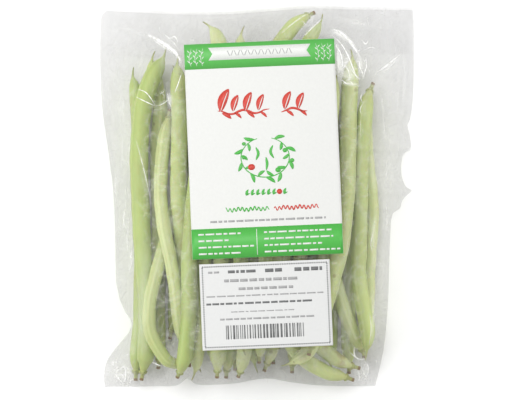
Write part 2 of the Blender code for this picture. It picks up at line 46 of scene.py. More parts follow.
# Makes an object of a finished bmesh, in its place, and hides the CAD nodes it replaces
def newPiece(name, bm, materials, replaced=()):
    mesh = bpy.data.meshes.new(name)
    bm.to_mesh(mesh)
    bm.free()
    for material in materials:
        mesh.materials.append(material)
    piece = bpy.data.objects.new(name, mesh)
    bpy.context.scene.collection.objects.link(piece)
    if replaced:
        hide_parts(*replaced)
    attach(piece, "root")
    return piece


# Adds a grid and puts each of its points where place(column, row) says
def gridOf(bm, columns, rows, place, materialIndex=0):
    made = bmesh.ops.create_grid(bm, x_segments=columns, y_segments=rows, size=1)["verts"]
    points = {}
    for vert in made:
        points[round((vert.co.x + 1) / 2 * columns), round((vert.co.y + 1) / 2 * rows)] = vert
    for key, vert in points.items():
        vert.co = place(*key)
        for face in vert.link_faces:
            face.material_index = materialIndex
            face.smooth = True
    return points


# A rounded line through the points, as rows of numbers about a step apart
def curveThrough(points, step):
    way = np.array(points, float)
    way = np.vstack([2 * way[0] - way[1], way, 2 * way[-1] - way[-2]])
    rows = [way[1]]
    for a, b, c, d in zip(way, way[1:], way[2:], way[3:]):
        count = max(2, int(np.linalg.norm(c[:2] - b[:2]) / step))
        for t in np.arange(1, count + 1) / count:
            bend = (2 * a - 5 * b + 4 * c - d) * t**2 + (3 * b - a - 3 * c + d) * t**3
            rows.append(0.5 * (2 * b + (c - a) * t + bend))
    return np.array(rows)


# How far each point of a line is from its start
def distanceAlong(line):
    return np.concatenate([[0], np.cumsum(np.linalg.norm(np.diff(line, axis=0), axis=1))])


# Short forms for shader nodes
def node(tree, kind, **values):
    made = tree.nodes.new(kind)
    for key, value in values.items():
        if hasattr(made, key):
            setattr(made, key, value)
        else:
            made.inputs[key.replace("_", " ")].default_value = value
    return made


def calc(tree, operation, a, b=None, clamp=False):
    made = node(tree, "ShaderNodeMath", operation=operation, use_clamp=clamp)
    for socket, value in zip(made.inputs, (a, b)):
        if isinstance(value, (int, float)):
            socket.default_value = value
        elif value is not None:
            tree.links.new(value, socket)
    return made.outputs[0]


def times(tree, a, b, clamp=False):
    return calc(tree, "MULTIPLY", a, b, clamp)


def ramp(tree, value, stops):
    made = tree.nodes.new("ShaderNodeValToRGB")
    while len(made.color_ramp.elements) < len(stops):
        made.color_ramp.elements.new(0.5)
    for element, (place, colour) in zip(made.color_ramp.elements, stops):
        element.position = place
        element.color = (*colour, 1)
    tree.links.new(value, made.inputs[0])
    return made.outputs[0]


def grey(level):
    return (level, level, level)


def mixColour(tree, share, a, b):
    made = node(tree, "ShaderNodeMix", data_type="RGBA")
    for socket, value in ((made.inputs[0], share), (made.inputs[6], a), (made.inputs[7], b)):
        if isinstance(value, tuple):
            socket.default_value = (*value, 1)
        elif isinstance(value, (int, float)):
            socket.default_value = value
        else:
            tree.links.new(value, socket)
    return made.outputs[2]


def attribute(tree, name):
    return node(tree, "ShaderNodeAttribute", attribute_name=name).outputs["Fac"]


# A material with its plain values set on the shader's own sockets
def newMaterial(name, **plain):
    material = bpy.data.materials.new(name)
    material.use_nodes = True
    tree = material.node_tree
    shader = tree.nodes["Principled BSDF"]
    for key, value in plain.items():
        shader.inputs[key.replace("_", " ")].default_value = value
    return material, tree, shader


# Noise on Object coordinates, drawn out along the bag: for the skin, the film, the papers and the inks
def noiseGroup():
    group = bpy.data.node_groups.new("longNoise", "ShaderNodeTree")
    for name, value in (("Scale", 400.0), ("Detail", 3.0), ("Stretch", 0.25)):
        socket = group.interface.new_socket(name, in_out="INPUT", socket_type="NodeSocketFloat")
        socket.default_value = value
    group.interface.new_socket("Value", in_out="OUTPUT", socket_type="NodeSocketFloat")
    start, end = node(group, "NodeGroupInput"), node(group, "NodeGroupOutput")
    place = node(group, "ShaderNodeTexCoord")
    joined = node(group, "ShaderNodeCombineXYZ", X=1.0, Z=1.0)
    stretched = node(group, "ShaderNodeVectorMath", operation="MULTIPLY")
    texture = node(group, "ShaderNodeTexNoise")
    group.links.new(start.outputs["Stretch"], joined.inputs["Y"])
    group.links.new(place.outputs["Object"], stretched.inputs[0])
    group.links.new(joined.outputs[0], stretched.inputs[1])
    group.links.new(stretched.outputs[0], texture.inputs["Vector"])
    group.links.new(start.outputs["Scale"], texture.inputs["Scale"])
    group.links.new(start.outputs["Detail"], texture.inputs["Detail"])
    group.links.new(texture.outputs[0], end.inputs["Value"])
    return group


longNoise = noiseGroup()


def longNoiseIn(tree, scale, detail=3.0, stretch=0.25):
    made = node(tree, "ShaderNodeGroup", node_tree=longNoise)
    for key, value in (("Scale", scale), ("Detail", detail), ("Stretch", stretch)):
        made.inputs[key].default_value = value
    return made.outputs["Value"]


def bumpFrom(tree, height, strength, distance):
    made = node(tree, "ShaderNodeBump", Strength=strength, Distance=distance)
    tree.links.new(height, made.inputs["Height"])
    return made.outputs[0]


# The camera looks straight down. In the picture 2.14 pixels are a millimetre at half the bundle's height.
view = {"distance": 2.4, "picture": 512, "pixelsPerMm": 2.14, "planeHeight": 16, "centre": (-0.47, -1.6),
        "farthest": 20}

studio = {
    "world": 0.56,
    "lamps": {  # place, size across and along, and power
        "topLight": ((-0.25, 0.45, 0.9), (0.7, 0.5), 4.6),
        "leftStrip": ((-0.75, -0.1, 0.4), (0.2, 0.8), 2.5),
        "rightStrip": ((0.75, 0.1, 0.45), (0.2, 0.8), 2.2),
    },
    "floorWhite": 0.97, "floorGlow": 0.05, "floorHalf": 3, "floorDrop": 0.05,
}


def addCamera():
    camera = bpy.data.cameras.new("camera")
    width = view["picture"] / view["pixelsPerMm"] * mm
    camera.lens = camera.sensor_width * view["distance"] / width
    camera.clip_end = view["farthest"]
    holder = bpy.data.objects.new("camera", camera)
    x, y = view["centre"]
    holder.location = (x * mm, y * mm, view["distance"] + view["planeHeight"] * mm)
    bpy.context.scene.collection.objects.link(holder)
    bpy.context.scene.camera = holder


def addStudio():
    world = bpy.data.worlds.new("studio")
    world.use_nodes = True
    world.node_tree.nodes["Background"].inputs["Color"].default_value = (1, 1, 1, 1)
    world.node_tree.nodes["Background"].inputs["Strength"].default_value = studio["world"]
    bpy.context.scene.world = world
    bpy.context.scene.view_settings.view_transform = "Standard"
    for name, (place, size, power) in studio["lamps"].items():
        lamp = bpy.data.lights.new(name, "AREA")
        lamp.shape = "RECTANGLE"
        lamp.size, lamp.size_y = size
        lamp.energy = power
        holder = bpy.data.objects.new(name, lamp)
        holder.location = place
        holder.rotation_euler = (-Vector(place)).to_track_quat("-Z", "Y").to_euler()
        bpy.context.scene.collection.objects.link(holder)


def addFloor():
    bm = bmesh.new()
    bmesh.ops.create_grid(bm, x_segments=1, y_segments=1, size=studio["floorHalf"])
    bmesh.ops.translate(bm, verts=bm.verts, vec=(0, 0, -studio["floorDrop"] * mm))
    mesh = bpy.data.meshes.new("floor")
    bm.to_mesh(mesh)
    bm.free()
    paint, tree, shader = newMaterial("floorPaint", Roughness=0.9, Emission_Color=(1, 1, 1, 1),
                                      Emission_Strength=studio["floorGlow"])
    speck = longNoiseIn(tree, 60, 2, 1.0)
    white = studio["floorWhite"]
    speckled = ramp(tree, speck, [(0.3, grey(white - 0.015)), (0.7, grey(white))])
    tree.links.new(speckled, shader.inputs["Base Color"])
    mesh.materials.append(paint)
    floor = bpy.data.objects.new("floor", mesh)
    bpy.context.scene.collection.objects.link(floor)


addCamera()
addStudio()
addFloor()
print("camera, light and floor made")


# Pods, each round the rings of its CAD node: lengths in millimetres, and "To" is measured from the tail
pod = {
    "around": 24, "step": 1.6, "fullness": 0.985, "sides": 0.975,
    "seamWidth": 0.16, "seamHeight": 0.045, "seamFrom": 8, "seamTo": 4,
    "grooveAt": 0.34, "grooveWidth": 0.16, "grooveDepth": 0.45,
    "seedEvery": 11.5, "seedBulge": 0.02, "seedsFrom": 14, "seedsTo": 18, "seedFade": 12,
    "stemAt": (0, 0, 0.15, 1.4, 2.6, 3.2, 3.8, 4.4, 4.7, 5.0, 5.6, 6.4, 7.4, 8.6),
    "stemRadii": (0, 0.8, 1.0, 0.93, 0.95, 1.15, 1.6, 1.9, 1.95, 1.5, 1.6, 1.95, 2.35, 2.75),
    "bodyFrom": 10, "bodyTo": 3, "tailAt": (1.6, 0.6, 0, 0), "leastNeck": 2.0,
    "taper": 0.35, "taperTo": 7, "taperOver": 4, "tipRadius": 0.2,
    "calyxFrom": 3.3, "calyxEnd": 4.9, "calyxLobes": 5, "calyxWave": 0.14, "lobesFrom": 4.2,
    "lobeLength": 0.5, "tailHook": 0.035, "hookLength": 7,
    "tone": (0.5, 1.0), "scar": (0, 0.25),  # for the pods that aren't listed below
}
seamTurns = {"bean_27": 2.6, "bean_29": 0.62, "bean_30": 1.2, "bean_28": 1.75, "bean_31": 2.9,
             "bean_32": 1.05, "bean_33": 0.15, "bean_24": 1.5}  # where pods show their seams, in radians
# The pods lying low in the pile (bean_14, bean_16 to bean_21, bean_25, bean_26 and bean_30) get paler tones
# as painted light, to offset the shade they lie in
tonesWithPaintedLight = {"bean_27": 0.3, "bean_28": 1.0, "bean_29": 0.75, "bean_30": 1.4, "bean_31": 0.25, "bean_32": 0.85,
         "bean_33": 1.05, "bean_14": 1.5, "bean_15": 1.0, "bean_24": 1.1, "bean_12": 0.4, "bean_16": 1.3,
         "bean_17": 1.45, "bean_18": 1.3, "bean_19": 1.4, "bean_20": 1.2, "bean_21": 1.3, "bean_25": 1.4,
         "bean_26": 1.3}  # 0 is deep green and 1 is pale
scarred = {"bean_21": 1.0, "bean_25": 0.5, "bean_29": 0.35}  # the browner pods


podColours = {
    "greens": [(0.1, (0.34, 0.46, 0.115)), (0.41, (0.455, 0.565, 0.165)), (0.75, (0.60, 0.67, 0.27)),
               (1.0, (0.78, 0.84, 0.43))],
    "streak": (0.63, 0.70, 0.33), "grain": (0.30, 0.42, 0.10), "seam": (0.68, 0.74, 0.40),
    "groove": (0.26, 0.36, 0.09), "calyx": (0.27, 0.33, 0.11), "neck": (0.52, 0.50, 0.20),
    "cut": (0.22, 0.12, 0.055), "tip": (0.22, 0.21, 0.09), "spot": (0.25, 0.19, 0.07),
    "blotch": (0.36, 0.25, 0.10),
}
podEnd = {"corners": 8, "reach": 2.6, "flatness": 0.9998}  # how a CAD pod's flat end is known
mergeWithin = 2e-6


# The corners of the flat end that a vertex belongs to
def endRing(vert):
    for face in vert.link_faces:
        group, waiting = {face}, [face]
        while waiting:
            for edge in waiting.pop().edges:
                for other in edge.link_faces:
                    if other not in group and other.normal.dot(face.normal) > podEnd["flatness"]:
                        group.add(other)
                        waiting.append(other)
        corners = {corner for flat in group for corner in flat.verts}
        farthest = max((corner.co - vert.co).length for corner in corners)
        if len(corners) == podEnd["corners"] and farthest < podEnd["reach"] * mm:
            return sorted(corners, key=lambda corner: corner.index)
    return [vert]


# Vertices in rows, each row the neighbours of the one before
def spreadFrom(start):
    seen, levels = set(start), [list(start)]
    while levels[-1]:
        following = []
        for vert in levels[-1]:
            for edge in vert.link_edges:
                other = edge.other_vert(vert)
                if other not in seen:
                    seen.add(other)
                    following.append(other)
        levels.append(following)
    return levels[:-1]


# Centre and radius of each ring of a CAD pod, from its stem to its tail, read from a merged copy
def ringsOfNode(name):
    bm = bmesh.new()
    bm.from_mesh(nodes[name].data)
    bmesh.ops.remove_doubles(bm, verts=bm.verts, dist=mergeWithin)
    bm.verts.index_update()
    bm.verts.ensure_lookup_table()
    bm.normal_update()
    far = spreadFrom([bm.verts[0]])[-1][0]
    rings = []
    for level in spreadFrom(endRing(far)):
        centre = sum((vert.co for vert in level), Vector()) / len(level)
        radius = sum((vert.co - centre).length for vert in level) / len(level)
        rings.append((*(centre / mm), radius / mm))
    bm.free()
    if rings[0][3] < rings[-1][3]:
        rings.reverse()  # the stem is the thicker end
    return np.array(rings)


# Stations along a pod, close together at its ends, with the radius at each
def podStations(rings, line, reach):
    nearest = [int(np.argmin(np.linalg.norm(line - ring[:3], axis=1))) for ring in rings]
    length = reach[-1]
    first = len(pod["stemAt"])
    middle = np.linspace(pod["bodyFrom"], length - pod["bodyTo"], int(length / pod["step"]))
    stations = np.concatenate([pod["stemAt"], middle, length - np.array(pod["tailAt"])])
    radii = np.interp(stations, reach[nearest], rings[:, 3]) * pod["fullness"]
    kernel = np.array([1, 2, 3, 2, 1]) / 9
    smoothed = np.convolve(np.pad(radii, 2, mode="edge"), kernel, mode="valid")
    radii[first - 2:-6] = smoothed[first - 2:-6]
    radii[:first] = np.minimum(pod["stemRadii"], np.maximum(radii[:first], pod["leastNeck"]))
    radii *= 1 - pod["taper"] * np.clip((stations - length + pod["taperTo"]) / pod["taperOver"], 0, 1)
    radii[-2:] = pod["tipRadius"], 0
    return stations, radii


# Slight swells over the seeds, not quite evenly apart, as a share of the radius
def seedLumps(stations, length, phase):
    lumps = np.sin(stations / pod["seedEvery"] * math.tau + phase + 0.8 * np.sin(stations / 31 + phase))
    lumps = lumps * pod["seedBulge"] * np.clip((stations - pod["seedsFrom"]) / pod["seedFade"], 0, 1)
    return lumps * np.clip((length - pod["seedsTo"] - stations) / pod["seedFade"], 0, 1)


def makePodShape(name, rings, draw):
    line = curveThrough(rings[:, :3], 1.0)
    reach = distanceAlong(line)
    stations, radii = podStations(rings, line, reach)
    length = reach[-1]
    lumps = seedLumps(stations, length, draw.uniform(0, math.tau))
    hooked = np.clip(stations - (length - pod["hookLength"]), 0, None) ** 2
    hook = draw.choice((-1, 1)) * pod["tailHook"] * hooked
    centres = np.column_stack([np.interp(stations, reach, line[:, i]) for i in range(3)])
    heading = np.gradient(line, reach, axis=0)
    headings = np.column_stack([np.interp(stations, reach, heading[:, i]) for i in range(3)])
    roll = seamTurns.get(name, draw.uniform(0, math.pi))
    facts = {"tone": tonesWithPaintedLight.get(name, draw.uniform(*pod["tone"])),
             "scar": scarred.get(name, draw.uniform(*pod["scar"]))}
    places, along, ridges = {}, {}, {}
    for j, (s, radius) in enumerate(zip(stations, radii)):
        forward = Vector(headings[j]).normalized()
        side = forward.cross(Vector((0, 0, 1))).normalized()
        up = side.cross(forward)
        seamed = pod["seamFrom"] < s < length - pod["seamTo"]
        for i in range(pod["around"] + 1):
            angle = i / pod["around"] * math.tau
            offSeam = min(angle % math.pi, math.pi - angle % math.pi)
            ridge = math.exp(-((offSeam / pod["seamWidth"]) ** 2)) if seamed else 0
            groove = math.exp(-(((offSeam - pod["grooveAt"]) / pod["grooveWidth"]) ** 2)) if seamed else 0
            local = radius * (pod["sides"] + pod["seamHeight"] * (ridge - pod["grooveDepth"] * groove))
            local += radius * lumps[j] * (0.4 + abs(math.sin(angle)))
            if pod["calyxFrom"] < s < pod["calyxEnd"]:
                local *= 1 + pod["calyxWave"] * math.cos(angle * pod["calyxLobes"])
            offset = side * (math.cos(angle + roll) * local + hook[j]) + up * math.sin(angle + roll) * local
            if pod["lobesFrom"] < s < pod["calyxEnd"]:
                offset += forward * pod["lobeLength"] * math.cos(angle * pod["calyxLobes"])
            places[i, j] = (Vector(centres[j]) + offset) * mm
            along[i, j], ridges[i, j] = s, ridge - groove
    bm = bmesh.new()
    layers = {key: bm.verts.layers.float.new(key) for key in ("fromStem", "fromTail", "seam", "tone", "scar")}
    points = gridOf(bm, pod["around"], len(stations) - 1, lambda i, j: places[i, j])
    for key, vert in points.items():
        vert[layers["fromStem"]], vert[layers["fromTail"]] = along[key], length - along[key]
        vert[layers["seam"]] = ridges[key]
        for fact, value in facts.items():
            vert[layers[fact]] = value
    bmesh.ops.remove_doubles(bm, verts=bm.verts, dist=1e-6)
    bmesh.ops.recalc_face_normals(bm, faces=bm.faces)
    return bm


# Waxy skin: pale streaks and dark grain, the seams, the stem's end, the dry tip, spots and brown blotches
def podMaterial():
    skin, tree, shader = newMaterial("podSkin", Specular_IOR_Level=0.35, Coat_Weight=0.05, Coat_Roughness=0.3,
                                     Subsurface_Weight=0.1, Subsurface_Scale=0.002)
    mottle = longNoiseIn(tree, 170, 4, 0.3)
    streak = longNoiseIn(tree, 1300, 3, 0.1)
    grain = longNoiseIn(tree, 2600, 2, 0.8)
    tone, scar, seam = (attribute(tree, key) for key in ("tone", "scar", "seam"))
    fromStem, fromTail = attribute(tree, "fromStem"), attribute(tree, "fromTail")
    place = node(tree, "ShaderNodeTexCoord")
    spots = node(tree, "ShaderNodeTexVoronoi", Scale=110.0)
    tree.links.new(place.outputs["Object"], spots.inputs["Vector"])
    dots = calc(tree, "LESS_THAN", spots.outputs["Distance"], 0.11)
    rare = calc(tree, "GREATER_THAN", longNoiseIn(tree, 50, 2, 1.0), 0.56)
    blotch = calc(tree, "SUBTRACT", longNoiseIn(tree, 130, 3, 0.6), 0.52, True)
    marks = [  # colour, where it shows, and how strongly
        ("streak", streak, 0.4),
        ("grain", calc(tree, "SUBTRACT", grain, 0.5, True), 1.2),
        ("seam", calc(tree, "MAXIMUM", seam, 0.0), 0.3),
        ("groove", calc(tree, "MAXIMUM", times(tree, seam, -1.0), 0.0), 0.34),
        ("calyx", calc(tree, "LESS_THAN", fromStem, 5.0), 0.75),
        ("neck", calc(tree, "SUBTRACT", 1.0, calc(tree, "DIVIDE", fromStem, 13.0), True), 0.5),
        ("cut", calc(tree, "LESS_THAN", fromStem, 1.2), 0.85),
        ("tip", calc(tree, "SUBTRACT", 1.0, calc(tree, "DIVIDE", fromTail, 5.0), True), 0.75),
        ("spot", times(tree, dots, rare), 0.45),
        ("blotch", times(tree, blotch, 5.0, True), scar),
    ]
    # The tone holds the painted light of the low-lying pods as well as their own colour
    shade = calc(tree, "ADD", times(tree, tone, 0.5), times(tree, mottle, 0.4))
    skinned = ramp(tree, shade, podColours["greens"])
    for colour, share, strength in marks:
        skinned = mixColour(tree, times(tree, share, strength), skinned, podColours[colour])
    tree.links.new(skinned, shader.inputs["Base Color"])
    tree.links.new(ramp(tree, mottle, [(0.3, grey(0.4)), (0.7, grey(0.54))]), shader.inputs["Roughness"])
    tree.links.new(bumpFrom(tree, streak, 0.22, 0.0002), shader.inputs["Normal"])
    return skin


podSkin = podMaterial()
podLines = []
podDraw = random.Random(7)
for name in sorted(name for name in nodes if name.startswith("bean_")):
    rings = ringsOfNode(name)
    newPiece(name.replace("bean", "pod"), makePodShape(name, rings, podDraw), [podSkin], [name])
    podLines.append(curveThrough(rings, 1.2))
print("pods made:", len(podLines))


# The two labels, where and as large as their CAD nodes: lengths in millimetres
front = {"node": "front_label", "centre": (3.0, 22.1), "size": (70.0, 100.0), "turn": 2.4, "thick": 0.18}
weight = {"node": "weight_label", "centre": (4.2, -50.2), "size": (60.5, 40.0), "turn": 2.4, "thick": 0.12}
ink = {"lift": 0.03, "thick": 0.02, "whiteOver": 0.03}
sheet = {"columns": 48, "rows": 64, "toUnderside": 0.2}


def ownAxes(label, x, y):
    dx, dy = x - label["centre"][0], y - label["centre"][1]
    c, s = math.cos(math.radians(label["turn"])), math.sin(math.radians(label["turn"]))
    return dx * c + dy * s, dy * c - dx * s


# Finds the CAD label's bow: height = a + b * up + c * across + d * across squared
def fitLabel(label):
    points = np.array([tuple(vert.co / mm) for vert in nodes[label["node"]].data.vertices])
    across, up = ownAxes(label, points[:, 0], points[:, 1])
    terms = np.column_stack([np.ones(len(points)), up, across, across**2])
    label["bow"] = np.linalg.lstsq(terms, points[:, 2], rcond=None)[0]
    label["bow"][0] -= sheet["toUnderside"]  # from the middle of the paper


def labelHeight(label, across, up):
    a, b, c, d = label["bow"]
    return a + b * up + c * across + d * across**2


def onLabel(label, across, up, above=0.0):
    c, s = math.cos(math.radians(label["turn"])), math.sin(math.radians(label["turn"]))
    x = label["centre"][0] + across * c - up * s
    y = label["centre"][1] + across * s + up * c
    return Vector((x, y, labelHeight(label, across, up) + above)) * mm


def paperMaterial(name, colour):
    material, tree, shader = newMaterial(name, Roughness=0.5, Specular_IOR_Level=0.3)
    fibre = longNoiseIn(tree, 900, 4, 0.8)
    low = tuple(level * 0.97 for level in colour)
    tree.links.new(ramp(tree, fibre, [(0.3, low), (0.7, colour)]), shader.inputs["Base Color"])
    tree.links.new(bumpFrom(tree, fibre, 0.08, 0.0001), shader.inputs["Normal"])
    return material


def inkMaterial(name, colour):
    material, tree, shader = newMaterial(name, Roughness=0.42)
    grain = longNoiseIn(tree, 2500, 3, 1.0)
    low = tuple(level * 0.9 for level in colour)
    tree.links.new(ramp(tree, grain, [(0.35, low), (0.65, colour)]), shader.inputs["Base Color"])
    return material


cardPaper = paperMaterial("cardPaper", (0.77, 0.775, 0.75))
thermalPaper = paperMaterial("thermalPaper", (0.745, 0.75, 0.74))
inks = [inkMaterial("leafGreenInk", (0.085, 0.49, 0.075)), inkMaterial("paleGreenInk", (0.11, 0.50, 0.095)),
        inkMaterial("redInk", (0.66, 0.062, 0.042)), inkMaterial("greyInk", (0.17, 0.175, 0.175)),
        inkMaterial("whiteInk", (0.82, 0.84, 0.80)), inkMaterial("faintInk", (0.42, 0.42, 0.42))]
green, pale, red, dark, white, faint = range(len(inks))


def makeLabel(label, name, material):
    fitLabel(label)
    w, h = label["size"]
    columns, rows = sheet["columns"], sheet["rows"]
    bm = bmesh.new()
    gridOf(bm, columns, rows, lambda i, j: onLabel(label, (i / columns - 0.5) * w, (j / rows - 0.5) * h))
    bmesh.ops.recalc_face_normals(bm, faces=bm.faces)
    piece = newPiece(name, bm, [material], [label["node"]])
    paper = piece.modifiers.new("paper", "SOLIDIFY")
    paper.thickness = label["thick"] * mm
    paper.offset = 1


# A printed rectangle, measured from the label's middle
def printPatch(bm, label, colour, x0, x1, y0, y1, above=0.0):
    columns, rows = max(1, round((x1 - x0) / 1.5)), max(1, round((y1 - y0) / 6))
    lift = label["thick"] + ink["lift"] + above

    def place(i, j):
        return onLabel(label, x0 + (x1 - x0) * i / columns, y0 + (y1 - y0) * j / rows, lift)

    gridOf(bm, columns, rows, place, colour)


# A printed ribbon with a notch in each end
def printRibbon(bm, label, colour, across, up, notch, above):
    columns = round((across[1] - across[0]) / 1.5)
    lift = label["thick"] + ink["lift"] + above

    def place(i, j):
        inset = notch * (1 - abs(j - 1))
        x = across[0] + inset + (across[1] - across[0] - 2 * inset) * i / columns
        return onLabel(label, x, up[0] + (up[1] - up[0]) * j / 2, lift)

    gridOf(bm, columns, 2, place, colour)


# A printed pen stroke through the points, full in its middle and thinner at its ends
def printStroke(bm, label, colour, points, widest, above=0.0, ends=0.15):
    line = curveThrough(points, 0.4)
    count = len(line) - 1
    heading = np.gradient(line, axis=0)
    heading /= np.linalg.norm(heading, axis=1)[:, None]
    lift = label["thick"] + ink["lift"] + above

    def place(i, j):
        half = widest / 2 * (ends + (1 - ends) * math.sin(math.pi * i / count) ** 0.7) * (j * 2 - 1)
        return onLabel(label, line[i][0] - heading[i][1] * half, line[i][1] + heading[i][0] * half, lift)

    gridOf(bm, count, 1, place, colour)


# A printed leaf, bowed a little to one side
def printLeaf(bm, label, colour, root, tip, widest, above=0.0):
    root, tip = np.array(root, float), np.array(tip, float)
    side = np.array([-(tip - root)[1], (tip - root)[0]]) * 0.08
    printStroke(bm, label, colour, [root, (root + tip) / 2 + side, tip], widest, above, 0.05)


# Small dashes with gaps, where a line of words would be
def printDashes(bm, label, colour, x0, x1, y, tall, draw, above=0.0):
    x = x0
    while x < x1 - 0.5:
        run = min(draw.uniform(1.2, 4.4), x1 - x)
        printPatch(bm, label, colour, x, x + run, y - tall / 2, y + tall / 2, above)
        x += run + draw.uniform(0.55, 0.85)


# Makes the printed shapes a thin layer of ink that faces up
def finishPrint(bm, name):
    bm.normal_update()
    for face in bm.faces:
        if face.normal.z < 0:
            face.normal_flip()
    piece = newPiece(name, bm, inks)
    layer = piece.modifiers.new("ink", "SOLIDIFY")
    layer.thickness = ink["thick"] * mm
    layer.offset = 1


def printBands(bm, draw):
    over = ink["whiteOver"]
    printPatch(bm, front, pale, -34.95, 34.95, 38.2, 49.95)
    printPatch(bm, front, green, -34.95, 34.95, -49.95, -36.0)
    printRibbon(bm, front, white, (-23.8, 23.8), (42.1, 48.0), 1.9, over)
    for k in range(19):  # a braid on the ribbon
        x, lean = -14.4 + k * 1.6, 0.5 if k % 2 else -0.5
        printStroke(bm, front, faint, [(x - lean, 43.9), (x, 45.1), (x + lean, 46.3)], 0.34, 2 * over, 0.7)
    for side in (-1, 1):
        for k in range(3):  # leaves at the band's two ends
            x = side * (26.6 + k * 2.7)
            stem = [(x, 39.6), (x + side * 0.8, 43.4), (x - side * 0.4, 48.0)]
            printStroke(bm, front, white, stem, 0.2, over, 0.5)
            foot = x + side * 0.4
            for level in (41.2, 43.6, 46.0):
                printLeaf(bm, front, white, (foot, level), (x + side * 1.6, level + 1.3), 0.42, over)
                printLeaf(bm, front, white, (foot, level - 0.9), (x - side * 0.8, level + 0.4), 0.36, over)
    printPatch(bm, front, white, -4.95, -4.65, -48.9, -36.9, over)
    for k, (left, right) in enumerate(((20.3, 31.3), (14.0, 32.0), (25.7, 27.0), (19.3, 35.0))):
        y = -38.6 - k * 3.0
        printDashes(bm, front, white, -31.9, -31.9 + left, y, 0.8, draw, over)
        printDashes(bm, front, white, -1.4, -1.4 + right, y, 0.8, draw, over)


# A vine of red leaves in two groups, where the real label has its title
def printVine(bm):
    for x0, x1 in ((-20.5, 5.0), (9.0, 23.0)):
        vine = [(x, 17.6 + 0.9 * math.sin(x * 0.55)) for x in np.arange(x0, x1, 2.4)]
        printStroke(bm, front, red, vine, 1.1, 0.0, 0.2)
    over = ink["whiteOver"]
    for x, lean, tall, girth in ((-19.2, 4.2, 10.5, 4.4), (-13.4, 2.6, 7.5, 3.2), (-7.6, 3.0, 8.6, 3.6),
                                 (-1.6, 2.6, 7.4, 3.0), (10.6, 3.0, 8.2, 3.4), (16.8, 2.8, 7.4, 3.2)):
        foot, tip = (x, 18.0), (x + lean, 18.0 + tall)
        printLeaf(bm, front, red, foot, tip, girth)
        vein = [foot, (x + lean * 0.42, 18.0 + tall * 0.45), (x + lean * 0.86, 18.0 + tall * 0.86)]
        printStroke(bm, front, white, vein, 0.4, over, 0.3)
        printLeaf(bm, front, red, (x + 0.6, 17.4), (x + lean * 0.7 + 2.0, 14.6), girth * 0.42)


# A round wreath of leaves and fruit
def printWreath(bm):
    cx, cy, wide, tall = 0.6, -3.9, 11.2, 9.2

    def onRing(angle, out=0.0):
        return cx + (wide + out) * math.sin(angle), cy + (tall + out) * math.cos(angle)

    printStroke(bm, front, green, [onRing(a) for a in np.linspace(0.3, math.tau - 0.3, 33)], 0.5, 0.0, 0.6)
    for k in range(17):
        a = 0.42 + k / 16 * (math.tau - 0.84)
        lean = a + (0.3 if a < math.pi else -0.3)
        reach, girth = ((3.3, 1.7), (-3.0, 1.5))[k % 2]
        printLeaf(bm, front, (green, pale)[k % 3 == 0], onRing(a), onRing(lean, reach), girth, 0.01)
    for a, out, size, colour in ((1.2, -1.2, 2.3, green), (1.75, 1.4, 2.2, pale), (2.5, -1.6, 2.6, green),
                                 (4.0, -2.6, 3.3, red), (4.75, -1.4, 2.1, green), (5.4, 1.2, 1.9, pale)):
        x, y = onRing(a, out)
        printStroke(bm, front, colour, [(x, y - size * 0.42), (x, y), (x, y + size * 0.42)], size, 0.02, 0.4)
    for x, y, lean in ((-3.6, 1.8, 0.5), (3.2, 2.4, -0.6), (0.6, -3.0, 0.2)):  # three pods inside
        x, y = cx + x, cy + y
        podLine = [(x - lean, y + 3.1), (x + lean, y), (x - lean * 1.4, y - 3.0)]
        printStroke(bm, front, green, podLine, 1.3, 0.02, 0.12)


# A row of small leaves and one red berry
def printLeafRow(bm):
    for k in range(8):
        x = -8.4 + k * 2.5
        if k == 6:
            printStroke(bm, front, red, [(x, -21.2), (x, -20.0), (x, -18.8)], 2.6, 0.0, 0.4)
        else:
            printLeaf(bm, front, green, (x - 0.5, -21.4), (x + 0.6, -18.5), 1.25)
            printLeaf(bm, front, green, (x - 0.4, -21.3), (x + 1.3, -20.3), 0.7)


def printFront():
    draw = random.Random(11)
    bm = bmesh.new()
    printBands(bm, draw)
    printVine(bm)
    printWreath(bm)
    printLeafRow(bm)
    for colour, x0, x1 in ((green, -18.6, 1.6), (red, 3.8, 24.6)):
        steps = np.arange(x0, x1, 0.42)
        wave = [(x, -27.6 + 0.85 * math.sin(x * 3.3) + 0.3 * math.sin(x * 0.9)) for x in steps]
        printStroke(bm, front, colour, wave, 0.62, 0.0, 0.6)
    printDashes(bm, front, faint, -26.0, 27.5, -32.9, 0.9, draw)
    finishPrint(bm, "frontLabelPrint")


